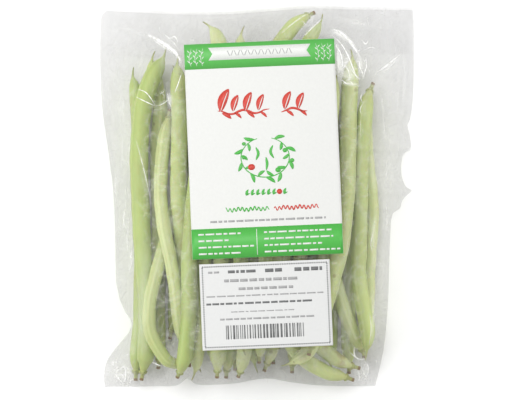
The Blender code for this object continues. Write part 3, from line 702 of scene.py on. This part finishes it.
# A dotted border, rows of dashes and a field of bars, with no words or figures
def printWeight():
    draw = random.Random(3)
    bm = bmesh.new()
    w, h = weight["size"]
    dot, pitch, inset = 0.3, 1.06, 1.35
    for k in range(-27, 28):
        for y in (-h / 2 + inset, h / 2 - inset):
            printPatch(bm, weight, dark, k * pitch - dot, k * pitch + dot, y - dot, y + dot)
    for k in range(-17, 18):
        for x in (-w / 2 + inset, w / 2 - inset):
            printPatch(bm, weight, dark, x - dot, x + dot, k * pitch - dot, k * pitch + dot)
    rows = [(16.0, -26.2, -20.9, 0.9, faint), (16.0, -17.0, -4.2, 1.3, dark), (16.0, 0.2, 9.0, 1.6, dark),
            (16.0, 13.8, 26.6, 1.7, dark), (11.9, -18.9, 16.1, 1.3, faint), (8.0, -12.4, 12.9, 1.2, faint),
            (4.8, -27.4, 27.6, 0.6, faint), (1.3, -27.6, 22.0, 0.9, dark), (-2.6, -16.3, 12.9, 0.45, faint),
            (-5.9, -21.5, 22.0, 0.8, faint)]
    for y, x0, x1, tall, colour in rows:
        printDashes(bm, weight, colour, x0, x1, y, tall, draw)
    x = -19.0
    while x < 16.6:
        wide = draw.choice((0.35, 0.35, 0.6, 0.9))
        printPatch(bm, weight, dark, x, x + wide, -15.2, -8.8)
        x += wide + draw.choice((0.35, 0.55, 0.8))
    finishPrint(bm, "weightLabelPrint")


makeLabel(front, "frontLabel", cardPaper)
makeLabel(weight, "weightLabel", thermalPaper)
printFront()
printWeight()
print("labels made")


# The film bag: its outline as seen from above, and how it creases. Lengths in millimetres.
film = {
    "columns": 220, "rows": 264, "halfLength": 89.5, "backHeight": 0.12, "sideHeight": 0.5, "clear": 0.3,
    "sheetGap": 0.3, "paperMargin": 0.8, "paperDrop": 0.16, "tightRounds": 3000, "bareRounds": 4,
    "border": 6, "wrinkle": 0.6,
    "noiseSeed": 5, "sharpNoise": (9.0, 2.4, 3.3), "smallNoise": (4.2, 1.3, 8.1),  # scale, stretch and place
    "flap": 22.0, "flapRows": 14, "flapHeight": 0.04, "flapFacts": (-0.1, 0.0),
    "bend": [(0.32, 0.12), (0.48, -0.02), (0.32, -0.24)],  # out from the top edge and up, where it folds
    "backColumns": 56, "backRows": 68, "backUneven": 0.12, "backFacts": (0.0, 0.9),
    "mouth": 88, "mouthInset": 1.0, "stepLength": 6, "stepHeight": 0.1,
    "left": [(-89.5, -71.6), (-84.3, -72.0), (-77.8, -70.7), (-72.4, -67.3), (-67.1, -62.9), (-63, -59.8),
             (-60.4, -59.2), (-57.1, -59.8), (-54.4, -61.9), (-48.4, -64.5), (-43, -65.7), (-36.7, -66.4),
             (-15, -66.8), (2, -67.6), (20, -69.8), (40, -72.6), (60, -73.7), (80, -73.6), (86, -72.6),
             (89.5, -69.6)],
    "right": [(-89.5, 55.5), (-72, 59.5), (-50, 61.6), (-20, 62.6), (-8.6, 63.7), (-5.8, 67.1), (-1.6, 68.4),
              (1.0, 70.9), (3.0, 72.9), (4.2, 70.4), (8.2, 68.4), (12.9, 67.8), (17.6, 68.2), (20.4, 68.9),
              (21.6, 71.9), (24.3, 72.4), (29.0, 71.8), (33.7, 70.7), (35.7, 71.8), (45, 73.2), (60, 73.7),
              (85, 73.6), (89.5, 72.8)],
    "bottom": [(-75, -89.4), (-50, -89.3), (-38, -88.8), (-32.4, -85.4), (-28, -88.4), (-12, -88.0),
               (4, -85.6), (18, -87.6), (36, -89.1), (75, -88.8)],
    "top": [(-75, 88.6), (-52, 87.4), (-30, 86.6), (-10, 87.0), (8, 88.4), (26, 89.5), (45, 89.0),
            (75, 88.9)],
}

# Broad creases: their points, width, height and whiteness, the whiteness being a painted glint
creases = [
    ([(-67.9, 80.2), (-60, 78.6), (-52.3, 76.3)], 1.6, 0.5, 0.3),
    ([(-41.2, 49), (-40.6, 45.5), (-40.2, 41.6)], 3.0, 0.3, 0.5),
    ([(-56.8, 27.6), (-53.3, 14.7), (-49.2, -2.8), (-47.2, -10)], 1.5, 0.2, 0.24),
    ([(-56.9, -1.1), (-53.4, -5.2), (-49.4, -10.6)], 1.2, 0.2, 0.24),
    ([(-64, -50), (-58.4, -58.8), (-56.4, -69)], 1.4, 0.6, 0.25),
    ([(-62.4, 56), (-59.6, 64), (-53, 70.6)], 1.8, 0.5, 0.2),
    ([(-70.4, 62), (-68, 40), (-66.4, 16), (-65.6, -12)], 1.4, 0.4, 0.2),
    ([(-64.4, 66), (-63, 44), (-62.4, 22)], 1.6, 0.4, 0.15),
    ([(-63.4, -6), (-62.6, -24), (-62.4, -44)], 1.2, 0.3, 0.15),
    ([(35.9, 84.4), (48.9, 80.8), (61.9, 79.4)], 3.2, 0.6, 0.3),
    ([(34.4, 77.5), (38.8, 75.6), (43.6, 72)], 2.6, 0.6, 0.6),
    ([(36.2, 72), (37.6, 64), (39.6, 57)], 3.6, 0.5, 0.8),
    ([(41, 66), (42.6, 60), (44.4, 54)], 5.0, 0.3, 0.55),
    ([(38.2, 57.6), (42, 56.6), (47.1, 55.4)], 5.0, 0.5, 0.6),
    ([(38.8, 53.4), (43, 52.8), (48.9, 51.6)], 2.6, 0.3, 0.5),
    ([(46.5, 68), (48.6, 62), (49.4, 56)], 3.0, 0.3, 0.45),
    ([(-53, -22), (-52.4, -42), (-53, -62), (-54, -76)], 7.0, 0.0, 0.24),
    ([(-41, -16), (-47.6, -36), (-50.4, -54), (-45, -72)], 5.0, 0.0, 0.2),
    ([(56.4, 56), (61.6, 60.6), (68, 66.6)], 2.4, 0.6, 0.34),
    ([(54.4, 54), (57.6, 48.6), (59.2, 40), (58.9, 30)], 1.3, 0.5, 0.34),
    ([(57.6, 24), (57, 8)], 1.6, 0.4, 0.2),
    ([(66.8, 70), (66.4, 50), (65.4, 28)], 1.2, 0.4, 0.18),
    ([(55.6, -8), (54.2, -19), (55.4, -27)], 2.2, 0.4, 0.4),
    ([(59.6, -10), (60.2, -32), (59.4, -54)], 1.0, 0.4, 0.18),
    ([(54.4, -44), (54.2, -58), (53.2, -72)], 1.5, 0.4, 0.42),
    ([(50.4, -76), (51.2, -80.6), (50.4, -85.6)], 1.8, 0.5, 0.45),
    ([(-30, 84), (-12, 83), (6, 85)], 1.2, 0.3, 0.2),
]

# Sharp folds: their points, width and whiteness, the whiteness being a painted glint
folds = [
    ([(-52.8, 76.4), (-46.6, 73.4), (-40.8, 69.4), (-37.2, 66), (-35.2, 61.9)], 2.4, 1.0),
    ([(-50.4, 74.2), (-45, 70.8), (-39.4, 66.8)], 0.9, 0.6),
    ([(-43.6, 76.4), (-41, 74), (-38.4, 74.6), (-36.8, 71.4)], 0.8, 0.8),
    ([(-41.8, 72.6), (-39.4, 72.4), (-37.4, 69.4)], 0.7, 0.7),
    ([(-57.0, 46.8), (-53, 44.8), (-47.6, 42.2)], 0.6, 1.0),
    ([(-56.2, 50.4), (-52.2, 48.8), (-49.6, 46), (-47.4, 42.4)], 0.6, 0.9),
    ([(-47.6, 42.2), (-44.8, 42.8), (-42, 44.4), (-39.4, 47.2)], 0.6, 0.7),
    ([(-34.9, 57.8), (-36.6, 52.6), (-38.5, 47.8)], 0.6, 0.8),
    ([(-41.9, 48.9), (-41, 44.4), (-39.6, 40.6)], 0.7, 0.6),
    ([(-56.8, 27.6), (-53.3, 14.7), (-49.2, -2.8)], 0.7, 0.4),
    ([(-67, -83.1), (-64.6, -81.2), (-61.8, -79.2)], 0.9, 0.9),
    ([(-61.9, -79.2), (-61.7, -84), (-62.3, -89)], 1.1, 1.0),
    ([(-67, -83.1), (-64.5, -86), (-62.3, -89.2)], 0.7, 0.8),
    ([(-64.6, -82.6), (-63, -84), (-62.4, -86)], 1.6, 0.7),
    ([(-49.2, -77.3), (-47, -78.2), (-44.6, -79.2)], 0.8, 0.8),
    ([(10, 75), (17.8, 81.6), (26.4, 87.4)], 0.9, 0.5),
    ([(20.3, 73), (26.4, 79.4), (31.6, 84.4)], 1.0, 0.6),
    ([(33.6, 78.4), (38.4, 77), (42.8, 73.2), (46, 68.6), (48.2, 64.6)], 2.2, 0.95),
    ([(34.4, 75.8), (39.4, 70.8), (42.4, 65.6), (44.6, 60.2), (46.2, 56), (47.2, 53.8)], 1.0, 1.0),
    ([(36.0, 71), (38.8, 66.8), (39.8, 61.6), (39.4, 58.4)], 1.2, 0.8),
    ([(48.0, 64.4), (47.8, 61), (49.2, 57.6), (49.6, 54.4)], 0.9, 0.9),
    ([(51.2, 65), (51.1, 61), (50.2, 57.4), (49.6, 54.6)], 0.8, 0.9),
    ([(43.6, 60), (45.4, 57.2), (48.2, 54.4)], 0.8, 0.8),
    ([(40.4, 62), (42.6, 58.4), (43.2, 54.8)], 0.8, 0.7),
    ([(48.8, 73.6), (50.8, 71.4), (52.2, 73.2)], 0.7, 0.8),
    ([(49.6, 68.4), (53.6, 69.8), (57.4, 68.2)], 0.7, 0.5),
    ([(55.2, 57.6), (59.4, 60.4), (63.9, 64), (67.8, 67.4)], 1.2, 0.6),
    ([(39.2, 52.6), (43.6, 52.4), (48, 51.6)], 0.6, 0.5),
    ([(49.2, 48.6), (48.4, 46), (49.4, 43.2)], 0.6, 0.7),
    ([(50, 44.6), (48.2, 41), (48.6, 38)], 0.5, 0.6),
    ([(48.6, 38), (48.2, 33), (48.4, 27)], 0.4, 0.4),
    ([(45.3, -69.6), (45.6, -74), (48.6, -77.6)], 0.8, 0.8),
    ([(42.6, -72), (46.6, -75.4), (50.6, -76.6)], 0.8, 0.7),
    ([(46.2, -80), (48, -83.6), (47.6, -87.4)], 0.8, 0.7),
    ([(50.8, -76.2), (52.2, -81), (50.8, -86.8)], 0.9, 0.7),
    ([(49.2, -79), (50.2, -83), (52.4, -86.8)], 0.7, 0.7),
    ([(54.2, -27), (53.2, -22), (54.6, -16)], 0.6, 0.5),
    ([(52.6, -54), (53.2, -62), (52.2, -70)], 0.7, 0.5),
]

# Places where the film is crumpled: centre, half sizes and strength. The strength sets both the crumpling and
# the painted glints on it
crumples = [((43.5, 60.5), (8.5, 10.5), 1.0), ((54, 84), (14, 5), 0.55), ((-45, 72), (10, 7), 0.5),
            ((25, 80), (9, 7), 0.6), ((-63.5, -82), (6.5, 7.5), 0.7), ((50.5, -82), (5.5, 7), 0.8),
            ((-43, 48), (6, 7), 0.45), ((0, -84), (30, 4), 0.3), ((68, 12), (5, 14), 0.3)]

# Folds drawn at random: small ones in the crumpled places, and long faint ones down the loose margins, each
# white with a painted glint
smallFold = {"perArea": 0.42, "spread": 0.5, "length": (1.2, 4.5), "bend": (-0.6, 0.6), "width": (0.3, 0.75),
             "whiteness": (0.25, 0.8)}
marginFold = {"count": 46, "across": (57, 70), "along": (-60, 70), "length": (5, 22), "sway": (-0.8, 0.8),
              "width": (0.4, 1.0), "whiteness": (0.1, 0.3)}

# The ribbon of a fold: its profile across, how it lies on the film, and how white its painted glint is
foldRibbon = {"profile": ((-1, 0), (-0.45, 0.6), (0, 1), (0.45, 0.6), (1, 0)), "step": 0.45, "edgeRoom": 0.5,
              "overPaper": -0.9, "lift": 0.06, "tall": 0.22, "whiteness": 1.6, "seed": 21}

# Shares of the film's alpha: one of them shows the painted glints, one the painted sheen at a slant
filmAlpha = {"cloud": 0.1, "least": 0.03, "glintAndSealWhite": 0.68, "slant": 0.3, "loose": 0.07, "shadow": 0.8}
edgeLines = {}  # the outline's four sides, filled in as they are first asked for


def edgeAt(side, values):
    if side not in edgeLines:
        line = curveThrough(film[side], 0.5)
        edgeLines[side] = line[np.argsort(line[:, 0])]
    return np.interp(values, edgeLines[side][:, 0], edgeLines[side][:, 1])


# The sheet's grid in plan, fitted between the four edges
def filmPlan(across, lengthwise):
    u, v = np.meshgrid(across, lengthwise)
    y = film["halfLength"] * (2 * v - 1)
    for _ in range(3):
        left, right = edgeAt("left", y), edgeAt("right", y)
        x = left + (right - left) * u
        low, high = edgeAt("bottom", x), edgeAt("top", x)
        y = low + (high - low) * v
    return x, y


# The height that the film clears over the pods, at each point of the plan
def pileUnder(x, y):
    height = np.zeros(x.shape)
    for line in podLines:
        for px, py, pz, radius in line:
            reach = radius + film["clear"]
            rows = np.flatnonzero((np.abs(y - py) < reach).any(axis=1))
            if not len(rows):
                continue
            part = slice(rows[0], rows[-1] + 1)
            apart = (x[part] - px) ** 2 + (y[part] - py) ** 2
            over = np.where(apart < reach**2, pz + np.sqrt(np.maximum(reach**2 - apart, 0)), 0)
            height[part] = np.maximum(height[part], over)
    return height


def underPaper(label, x, y, margin):
    across, up = ownAxes(label, x, y)
    inside = (np.abs(across) < label["size"][0] / 2 + margin) & (np.abs(up) < label["size"][1] / 2 + margin)
    return inside, labelHeight(label, across, up) - film["paperDrop"]


# Draws a sheet tight over the floor, as a soap film would be
def drawTight(height, floor, fixed, rounds):
    for _ in range(rounds):
        mean = height.copy()
        mean[1:-1, 1:-1] = (height[:-2, 1:-1] + height[2:, 1:-1] + height[1:-1, :-2] + height[1:-1, 2:]) / 4
        height = np.where(fixed, height, np.maximum(mean, floor))
    return height


# Sharp, branching folds: 1 along a fold and near 0 between
def foldNoise(x, y, scale, stretch, seed):
    values = np.empty(x.size)
    for k, (px, py) in enumerate(zip(x.ravel(), y.ravel())):
        place = Vector((px / scale, py / (scale * stretch), seed))
        bent = place + 0.35 * noise.noise_vector(place * 0.7)
        values[k] = 1 - abs(noise.noise(bent)) * 2.6 - 0.25 * abs(noise.noise(bent * 2.7))
    return np.clip(values.reshape(x.shape), 0, 1)


# How high the listed creases make the film, and how white their painted glints are
def creaseField(x, y):
    height, whiteness = np.zeros(x.shape), np.zeros(x.shape)
    for points, width, tall, share in creases:
        line = curveThrough(points, 0.6)
        nearest, along = np.full(x.shape, 1e9), np.zeros(x.shape)
        for k, (px, py) in enumerate(line):
            apart = np.hypot(x - px, y - py)
            closer = apart < nearest
            nearest = np.where(closer, apart, nearest)
            along = np.where(closer, k / (len(line) - 1), along)
        fade = np.sin(np.pi * np.clip(along, 0.04, 0.96)) ** 0.6
        height += tall * fade * np.maximum(0, 1 - nearest / (width * 1.3))
        whiteness = np.maximum(whiteness, share * fade * np.exp(-((nearest / (width * 0.5)) ** 2)))
    return height, whiteness


def crumpleField(x, y):
    field = np.zeros(x.shape)
    for (cx, cy), (rx, ry), strength in crumples:
        apart = ((x - cx) / rx) ** 2 + ((y - cy) / ry) ** 2
        field = np.maximum(field, strength * np.exp(-apart))
    return field


# The front sheet: taut over the pods and the labels' undersides, creased and crumpled where it is loose
def makeFilm():
    noise.seed_set(film["noiseSeed"])  # unseeded, the noise vectors follow the clock
    columns, rows = film["columns"], film["rows"]
    x, y = filmPlan(np.linspace(0, 1, columns + 1), np.linspace(0, 1, rows + 1))
    pile = pileUnder(x, y)
    rim = np.zeros(x.shape, bool)
    rim[[0, -1], :] = True
    rim[:, [0, -1]] = True
    lowest = film["backHeight"] + film["sheetGap"]
    height = np.maximum(pile, lowest)
    papers = np.zeros(x.shape, bool)
    for label in (front, weight):
        inside, level = underPaper(label, x, y, film["paperMargin"])
        height = np.where(inside, level, height)
        papers |= inside
    height[rim] = film["sideHeight"]
    height = drawTight(height, np.maximum(pile, lowest), rim | papers, film["tightRounds"])
    bare = drawTight((pile <= 0) * 1.0, np.zeros(x.shape), np.zeros(x.shape, bool), film["bareRounds"])
    column, row = np.meshgrid(np.arange(columns + 1), np.arange(rows + 1))
    border = np.clip(np.minimum.reduce([column, columns - column, row, rows - row]) / film["border"], 0, 1)
    free = np.where(papers, 0, border)
    loose = np.where(papers, 0, np.clip((height - np.maximum(pile, 0.5) - 0.3) / 2.5, 0, 1))
    crumple = crumpleField(x, y)
    sharp = foldNoise(x, y, *film["sharpNoise"]) ** 3
    small = foldNoise(x + 40, y, *film["smallNoise"]) ** 4
    tall, whiteness = creaseField(x, y)
    lift = loose * film["wrinkle"] * (sharp * 1.2 + small * 0.5) + tall * (0.35 + 0.65 * loose)
    lift += crumple * (0.9 * small + 0.6 * sharp)
    # Painted glints where the film is loose or crumpled
    crumpleGlint = np.maximum(loose * 0.3, 0.7 * crumple) * np.maximum(0.8 * sharp, small)
    # The heat seal at the bottom left is a little whiter of itself
    seal = 0.12 * np.clip((-79.6 - y) / 0.8, 0, 1) * np.clip((-56 - x) / 3, 0, 1)
    whiteness = np.where(papers, 0, np.maximum(whiteness, crumpleGlint) + seal)
    return x, y, height + free * lift, whiteness, np.maximum(loose, bare)


# The alpha as it is, but far lower for shadow rays, because film casts next to no shadow
def lightShadow(tree, alpha):
    isShadow = node(tree, "ShaderNodeLightPath").outputs["Is Shadow Ray"]
    shadow = times(tree, isShadow, filmAlpha["shadow"])
    return times(tree, alpha, calc(tree, "SUBTRACT", 1.0, shadow))


# The film is painted white where creases, folds and crumples would catch the light, as painted glints, and
# the heat seal is a little whiter of itself. It is denser where it is seen at a slant, a painted sheen in
# place of its reflection
def filmMaterial():
    clear, tree, shader = newMaterial("bagFilm", Roughness=0.2, Specular_IOR_Level=0.5)
    whiteness = attribute(tree, "glintAndSealWhite")
    tree.links.new(ramp(tree, whiteness, [(0.0, (0.33, 0.325, 0.32)), (0.45, (0.93, 0.93, 0.89))]),
                   shader.inputs["Base Color"])
    # Denser at a slant: a painted sheen standing in for the film's reflection at grazing angles
    slant = node(tree, "ShaderNodeLayerWeight", Blend=0.35)
    facing = calc(tree, "POWER", slant.outputs["Facing"], 2.2)
    alpha = times(tree, longNoiseIn(tree, 90, 3, 0.5), filmAlpha["cloud"])
    alpha = calc(tree, "ADD", alpha, filmAlpha["least"])
    alpha = calc(tree, "ADD", alpha, times(tree, whiteness, filmAlpha["glintAndSealWhite"]))
    alpha = calc(tree, "ADD", alpha, times(tree, facing, filmAlpha["slant"]))
    loose = times(tree, attribute(tree, "loose"), filmAlpha["loose"])
    alpha = calc(tree, "ADD", alpha, loose, True)
    tree.links.new(lightShadow(tree, alpha), shader.inputs["Alpha"])
    tree.links.new(bumpFrom(tree, longNoiseIn(tree, 220, 5, 0.5), 0.5, 0.0006), shader.inputs["Normal"])
    return clear


# A fold's painted glint: white in broken strokes, where the fold would catch the light
def foldGlintMaterial():
    white, tree, shader = newMaterial("filmFoldGlint", Roughness=0.3, Specular_IOR_Level=0.5)
    broken = ramp(tree, longNoiseIn(tree, 520, 4, 0.8), [(0.34, grey(0.45)), (0.56, grey(1.0))])
    tree.links.new(ramp(tree, broken, [(0.3, (0.90, 0.91, 0.84)), (0.9, (0.97, 0.97, 0.95))]),
                   shader.inputs["Base Color"])
    alpha = times(tree, attribute(tree, "glintAndSealWhite"), broken, True)
    tree.links.new(lightShadow(tree, alpha), shader.inputs["Alpha"])
    return white


# The film's height at any place, read from its grid
def heightOn(surface, x, y):
    left, right = edgeAt("left", y), edgeAt("right", y)
    low, high = edgeAt("bottom", x), edgeAt("top", x)
    rows, columns = surface.shape
    u = np.clip((x - left) / (right - left), 0, 0.9999) * (columns - 1)
    v = np.clip((y - low) / (high - low), 0, 0.9999) * (rows - 1)
    i, j = u.astype(int), v.astype(int)
    a, b = u - i, v - j
    near = surface[j, i] * (1 - a) + surface[j, i + 1] * a
    return near * (1 - b) + (surface[j + 1, i] * (1 - a) + surface[j + 1, i + 1] * a) * b


def randomFolds(draw):
    made = []
    for (cx, cy), (rx, ry), strength in crumples:
        for _ in range(round(rx * ry * strength * smallFold["perArea"])):
            x, y = cx + draw.gauss(0, rx * smallFold["spread"]), cy + draw.gauss(0, ry * smallFold["spread"])
            angle, length = draw.uniform(0, math.tau), draw.uniform(*smallFold["length"])
            dx, dy = math.cos(angle) * length / 2, math.sin(angle) * length / 2
            bend = draw.uniform(*smallFold["bend"])
            points = [(x - dx, y - dy), (x - dy * bend, y + dx * bend), (x + dx, y + dy)]
            width, whiteness = draw.uniform(*smallFold["width"]), draw.uniform(*smallFold["whiteness"])
            made.append((points, width, strength * whiteness))
    for _ in range(marginFold["count"]):
        side = draw.choice((-1, 1))
        x, y = side * draw.uniform(*marginFold["across"]), draw.uniform(*marginFold["along"])
        half = draw.uniform(*marginFold["length"]) / 2
        points = [(x, y - half), (x + draw.uniform(*marginFold["sway"]), y),
                  (x - side * draw.uniform(0, 1), y + half)]
        made.append((points, draw.uniform(*marginFold["width"]), draw.uniform(*marginFold["whiteness"])))
    return made


# Thin ribbons on the film that carry the folds' painted glints, left out where they would reach past its edge
# or over a label
def makeFolds(surface):
    bm = bmesh.new()
    glintAndSealWhite = bm.verts.layers.float.new("glintAndSealWhite")
    profile = foldRibbon["profile"]
    for points, width, whiteness in folds + randomFolds(random.Random(foldRibbon["seed"])):
        line = curveThrough(points, foldRibbon["step"])
        heading = np.gradient(line, axis=0)
        heading /= np.maximum(np.linalg.norm(heading, axis=1), 1e-9)[:, None]
        share = np.linspace(0, 1, len(line))
        fade = np.sin(math.pi * np.clip(share, 0.02, 0.98)) ** 0.7
        x = np.array([line[:, 0] - heading[:, 1] * p * width / 2 * (0.35 + 0.65 * fade) for p, _ in profile])
        y = np.array([line[:, 1] + heading[:, 0] * p * width / 2 * (0.35 + 0.65 * fade) for p, _ in profile])
        room = foldRibbon["edgeRoom"]
        if ((x < edgeAt("left", y) + room) | (x > edgeAt("right", y) - room)).any():
            continue
        if any(underPaper(label, x, y, foldRibbon["overPaper"])[0].any() for label in (front, weight)):
            continue
        z = heightOn(surface, x, y) + foldRibbon["lift"]

        def place(i, j):
            return Vector((x[j, i], y[j, i], z[j, i] + foldRibbon["tall"] * profile[j][1] * fade[i])) * mm

        for (i, j), vert in gridOf(bm, len(line) - 1, len(profile) - 1, place).items():
            vert[glintAndSealWhite] = foldRibbon["whiteness"] * whiteness * profile[j][1] * fade[i]
    newPiece("bagFolds", bm, [foldGlintMaterial()])


# One sheet of the bag, with the whiteness of its painted glints and seal, and how loose the film is at each
# of its points
def sheetPiece(name, columns, rows, places, facts, replaced=(), turned=False):
    bm = bmesh.new()
    glintAndSealWhite, loose = (bm.verts.layers.float.new(key) for key in ("glintAndSealWhite", "loose"))
    for key, vert in gridOf(bm, columns, rows, lambda i, j: places[i, j]).items():
        vert[glintAndSealWhite], vert[loose] = facts[key]
    if turned:
        bmesh.ops.reverse_faces(bm, faces=bm.faces)
    newPiece(name, bm, [bagFilm], replaced)


# The front sheet, over the fold at the top and down behind as the flap
def buildFront():
    x, y, z, whiteness, loose = makeFilm()
    columns, rows, extra, bend = film["columns"], film["rows"], film["flapRows"], film["bend"]
    places, facts = {}, {}
    for i in range(columns + 1):
        for j in range(rows + 1):
            places[i, j] = Vector((x[j, i], y[j, i], z[j, i])) * mm
            facts[i, j] = (whiteness[j, i], loose[j, i])
        for k in range(len(bend) + extra):
            if k < len(bend):
                out, level = bend[k][0], z[rows, i] + bend[k][1]
            else:
                out, level = -film["flap"] * (k - len(bend)) / (extra - 1), film["flapHeight"]
            places[i, rows + 1 + k] = Vector((x[rows, i], y[rows, i] + out, level)) * mm
            facts[i, rows + 1 + k] = film["flapFacts"]
    sheetPiece("bagFront", columns, rows + len(bend) + extra, places, facts, ["bag"])
    makeFolds(z)


# The back sheet lies flat, and steps over the flap near its mouth
def buildBack():
    columns, rows, step = film["backColumns"], film["backRows"], film["stepLength"]
    x, y = filmPlan(np.linspace(0, 1, columns + 1), np.linspace(0, 1, rows + 1))
    share = np.clip((y - (film["mouth"] - film["flap"] - step)) / step, 0, 1)
    level = film["backHeight"] + film["stepHeight"] * share * share * (3 - 2 * share)
    draw = random.Random(5)
    places, facts = {}, {}
    for j in range(rows + 1):
        for i in range(columns + 1):
            inner = 0 < i < columns and 0 < j < rows
            lift = draw.uniform(0, film["backUneven"]) if inner else 0
            mouth = film["mouthInset"] if j == rows else 0
            places[i, j] = Vector((x[j, i], y[j, i] - mouth, level[j, i] + lift)) * mm
            facts[i, j] = film["backFacts"]
    sheetPiece("bagBack", columns, rows, places, facts, turned=True)


bagFilm = filmMaterial()
buildFront()
buildBack()
print("bag film made")
